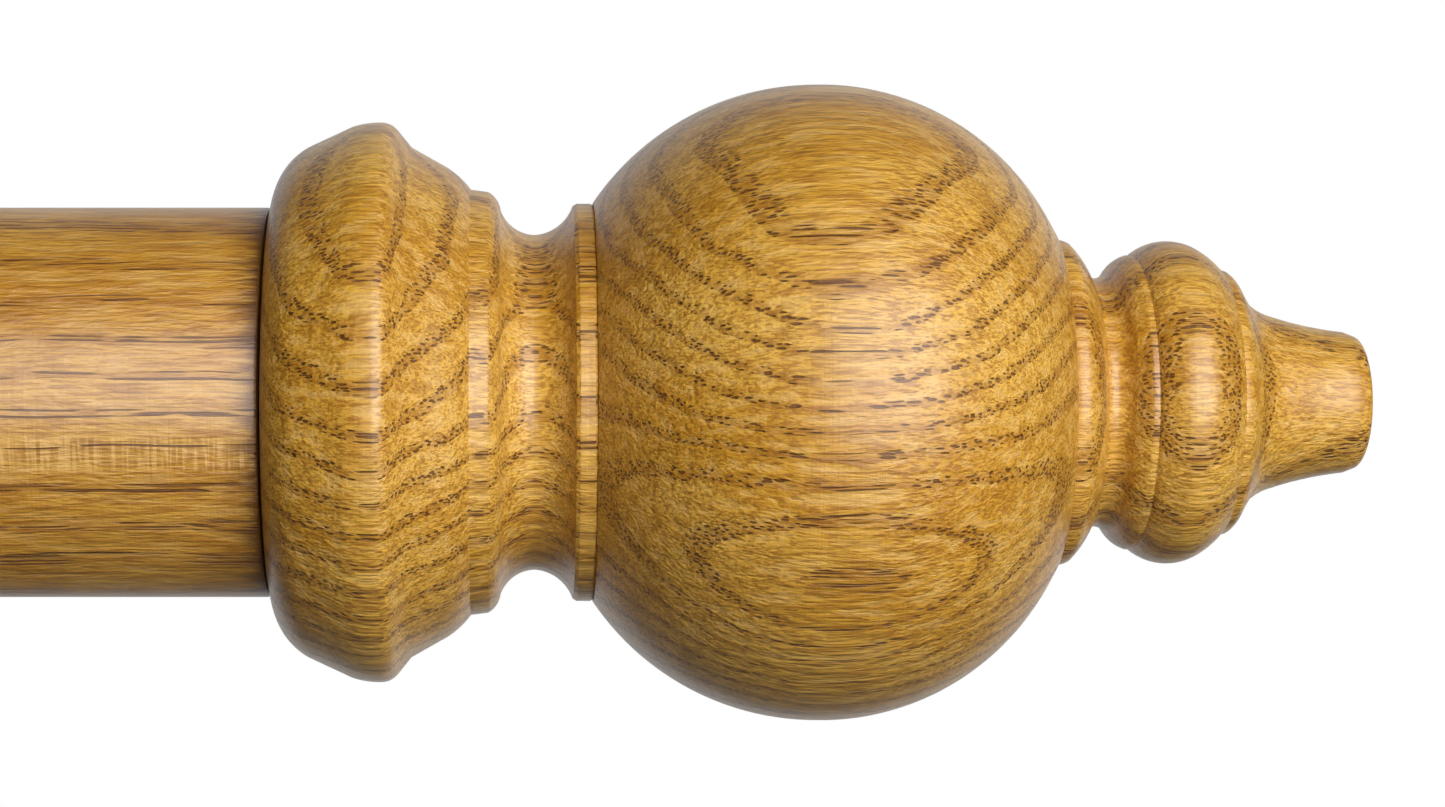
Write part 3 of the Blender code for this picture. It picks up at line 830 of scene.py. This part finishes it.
# %% Make the thumbscrews
HEAD_REACH = 9.0
RIM_START = -52.2
RIM_LENGTH = 3.9
RIM_ROWS = 6
FLUTES = 36
FLUTE_SIDES = 6
FLUTE_DEPTH = 0.45
SHANK_START = -45.5
SHANK_END = -28.1
THUMB_SHANK = 2.8
THUMB_THREAD = (-44.6, -28.3)
THUMB_PITCH = 1.0
THUMB_THREAD_DEPTH = 0.5


def thumbscrew():
    head = outline((-52.3, 0), (-52.3, 3.2), (-53.0, 4.2, 0.1), (-53.0, 8.2), (RIM_START, HEAD_REACH, 0.25))
    rim = [Vector((RIM_START + RIM_LENGTH * row / RIM_ROWS, HEAD_REACH)) for row in range(1, RIM_ROWS)]
    shoulder = outline((-48.3, HEAD_REACH), (-47.5, 8.2, 0.25), (-47.5, 5.4), (-47.2, 5.0, -0.1),
                       (SHANK_START, 4.2, 0.1), (SHANK_START, THUMB_SHANK))
    shank = threaded(SHANK_START, SHANK_END, THUMB_SHANK, THUMB_PITCH)
    tip = outline((SHANK_END, 1.6), (-26.9, 1.6), (-26.6, 1.3), (-26.6, 0))
    bm = turn(head + rim + shoulder + shank[1:] + tip, FLUTES * FLUTE_SIDES)
    cut_thread(bm, *THUMB_THREAD, THUMB_SHANK, THUMB_PITCH, THUMB_THREAD_DEPTH)
    for vert in bm.verts:
        reach = math.hypot(vert.co.x, vert.co.y) / MM
        if reach > HEAD_REACH - 0.1:
            wave = 0.5 - 0.5 * math.cos(FLUTES * math.atan2(vert.co.y, vert.co.x))
            inward = 1 - FLUTE_DEPTH * wave / reach
            vert.co.x *= inward
            vert.co.y *= inward
    return bm


for side in outward:
    bm = stand(thumbscrew(), cradle_seat[side], UP)
    finish_piece(f"{side}_knurled_screw", bm, brass_upright, f"{side}_thumbscrew",
                 [f"{side}_thumbscrew"], sharp=50)

# %% [markdown]
# Three small brass turnings are left. The pad has a socket below for the screw's tip. The lock insert is
# the sleeve that the thumbscrew runs in, and the pole insert the one in each end of the pole, with a
# coarse outer thread that bites into the wood.

# %% Make the pads and inserts
PAD = outline((-26.3, 0), (-26.3, 1.9), (-27.8, 1.9), (-27.8, 4.6), (-27.4, 5.0, 0.12),
              (-25.7, 5.0), (-25.3, 4.6, 0.12), (-25.3, 0))
PAD_SIDES = 64
SLEEVE_SIDES = 48
LOCK_SLEEVE = dict(start=-41.4, end=-32.4, outer=4.5, inner=3.1, pitch=1.5, depth=0.5)
POLE_SLEEVE = dict(start=-18.8, end=-0.8, outer=6.0, inner=4.3, pitch=2.0, depth=0.7)


def sleeve(start, end, outer, inner, pitch, depth):
    ease = 0.4
    skin = threaded(start + ease, end - ease, outer, pitch)
    points = [Vector((start, inner)), Vector((start, outer - ease))] + skin
    points += [Vector((end, outer - ease)), Vector((end, inner))]
    bm = turn(points, SLEEVE_SIDES)
    cut_thread(bm, start + ease, end - ease, outer, pitch, depth)
    return bm


for side, axis in outward.items():
    bm = stand(turn(PAD, PAD_SIDES), cradle_seat[side], UP)
    finish_piece(f"{side}_turned_pad", bm, brass_upright, f"{side}_pad", [f"{side}_pad"])
    bm = stand(sleeve(**LOCK_SLEEVE), cradle_seat[side], UP)
    finish_piece(f"{side}_threaded_lock_insert", bm, brass_upright, "brackets",
                 [f"{side}_lock_insert"])
    bm = stand(sleeve(**POLE_SLEEVE), finial_seat[side], axis)
    finish_piece(f"{side}_threaded_pole_insert", bm, brass_outward, "pole", [f"{side}_pole_insert"])

# %% [markdown]
# The hanger bolt joins a finial to the pole: a fine machine thread at one end runs in the pole's insert,
# a coarse wood thread at the other holds the ball, and a plain neck between them passes the collar.

# %% Make the hanger bolts
BOLT_RADIUS = 3.9
BOLT_SIDES = 40
NECK_RADIUS = 3.5
MACHINE_THREAD = (-14.8, 18)
MACHINE_PITCH = 1.25
MACHINE_DEPTH = 0.7
WOOD_THREAD = (24, 72.6)
WOOD_PITCH = 3.0
WOOD_DEPTH = 0.9
bolt_points = [Vector((-16, 0)), Vector((-16, 2.7))]
bolt_points += threaded(*MACHINE_THREAD, BOLT_RADIUS, MACHINE_PITCH)
bolt_points += [Vector((18.4, NECK_RADIUS)), Vector((23.6, NECK_RADIUS))]
bolt_points += threaded(*WOOD_THREAD, BOLT_RADIUS, WOOD_PITCH)
bolt_points.append(Vector((75, 0)))
for side, axis in outward.items():
    bm = turn(bolt_points, BOLT_SIDES)
    cut_thread(bm, *MACHINE_THREAD, BOLT_RADIUS, MACHINE_PITCH, MACHINE_DEPTH)
    cut_thread(bm, *WOOD_THREAD, BOLT_RADIUS, WOOD_PITCH, WOOD_DEPTH)
    stand(bm, finial_seat[side], axis)
    finish_piece(f"{side}_hanger_bolt", bm, zinc_steel, f"{side}_finial", [f"{side}_bolt"])

# %% [markdown]
# The dowels are the only solids whose CAD shape is already the whole story: plain pegs, glued out of sight.
# They stay as they are and only get their beech.

# %% Finish the dowels
for side in outward:
    for dowel in ("tip_dowel", "rose_dowel", "cradle_dowel"):
        bpy.data.objects[f"{side}_{dowel}"].material_slots[0].material = beech
print("dowels finished in", beech.name)

# %% [markdown]
# A small studio. One large softbox stands to the right of the camera and a little above the pole, and
# gives the broad broken highlight. A weak fill stands low in front, and a small lamp lights the far
# bracket. The backdrop behind the pole rims every turning with a pale edge, and the camera sees it as plain
# white. The rest of the room is kept nearly dark, which gives the round pieces their depth. The floor is
# well below and matt grey to the light: it looks pale because it glows for the camera's own rays only.

# %% Light the studio
scene = bpy.context.scene
scene.view_settings.view_transform = "Standard"
DARK_SIDE = 0.02
BACKDROP_GLOW = 0.7
world = bpy.data.worlds.new("studio")
scene.world = world
world.use_nodes = True
room = Finish("studio", world.node_tree)
heading = room.node("TexCoord", {}, {}, "Generated")
behind = room.node("SeparateXYZ", {}, {0: heading}, "Y")
glow = room.fade(behind, 0.35, 0.95) * BACKDROP_GLOW + DARK_SIDE
seen = room.node("LightPath", {}, {}, "Is Camera Ray")
strength = room.math("MAXIMUM", glow, seen)
room.feed(world.node_tree.nodes["Background"].inputs["Color"], (1, 1, 1, 1))
room.feed(world.node_tree.nodes["Background"].inputs["Strength"], strength)


def softbox(name, target, turn_degrees, height_degrees, distance, size, power, spread=180, color=(1, 1, 1)):
    """An area light that faces a target. A turn of 0 is the camera's side, and plus is to its right."""
    yaw = math.radians(turn_degrees)
    pitch = math.radians(height_degrees)
    way = Vector((math.sin(yaw) * math.cos(pitch), -math.cos(yaw) * math.cos(pitch), math.sin(pitch)))
    light = bpy.data.lights.new(name, "AREA")
    light.shape = "RECTANGLE"
    light.size, light.size_y = size
    light.energy = power
    light.color = color
    light.spread = math.radians(spread)
    lamp = bpy.data.objects.new(name, light)
    lamp.location = target + way * distance
    lamp.rotation_euler = way.to_track_quat("Z", "Y").to_euler()
    scene.collection.objects.link(lamp)
    return lamp


ball_centre = finial_seat["right"] + ALONG * 70 * MM
softbox("key", ball_centre, turn_degrees=24, height_degrees=13, distance=0.85, size=(0.7, 0.8), power=10.0,
        color=(1.0, 0.975, 0.98))
softbox("front_fill", ball_centre, turn_degrees=8, height_degrees=-12, distance=1.6, size=(0.9, 0.9),
        power=1.1)
softbox("far_end", cradle_seat["left"], turn_degrees=-20, height_degrees=40, distance=1.0, size=(0.8, 0.6),
        power=1.4, spread=50)

# %% Lay the floor
FLOOR_HALF = 2.4
FLOOR_DROP = 1.5
FLOOR_BRIGHTNESS = 1.0
PALE_PAINT = (0.8, 0.79, 0.77, 1)
MATT_PAINT = (0.35, 0.35, 0.34, 1)
bm = bmesh.new()
bmesh.ops.create_grid(bm, x_segments=1, y_segments=1, size=FLOOR_HALF)
bmesh.ops.translate(bm, vec=(pole_middle.x, AXIS_Y, AXIS_Z - FLOOR_DROP), verts=bm.verts)
floor_mesh = bpy.data.meshes.new("floor")
bm.to_mesh(floor_mesh)
bm.free()
floor = bpy.data.objects.new("floor", floor_mesh)
scene.collection.objects.link(floor)
paint = Finish("floor_paint")
seen = paint.node("LightPath", {}, {}, "Is Camera Ray")
paint.set(Base_Color=MATT_PAINT, Roughness=0.7, Emission_Strength=FLOOR_BRIGHTNESS,
          Emission_Color=paint.blend(seen, (0, 0, 0, 1), PALE_PAINT))
floor_mesh.materials.append(paint.material)
print("floor lies", FLOOR_DROP, "m below the pole")
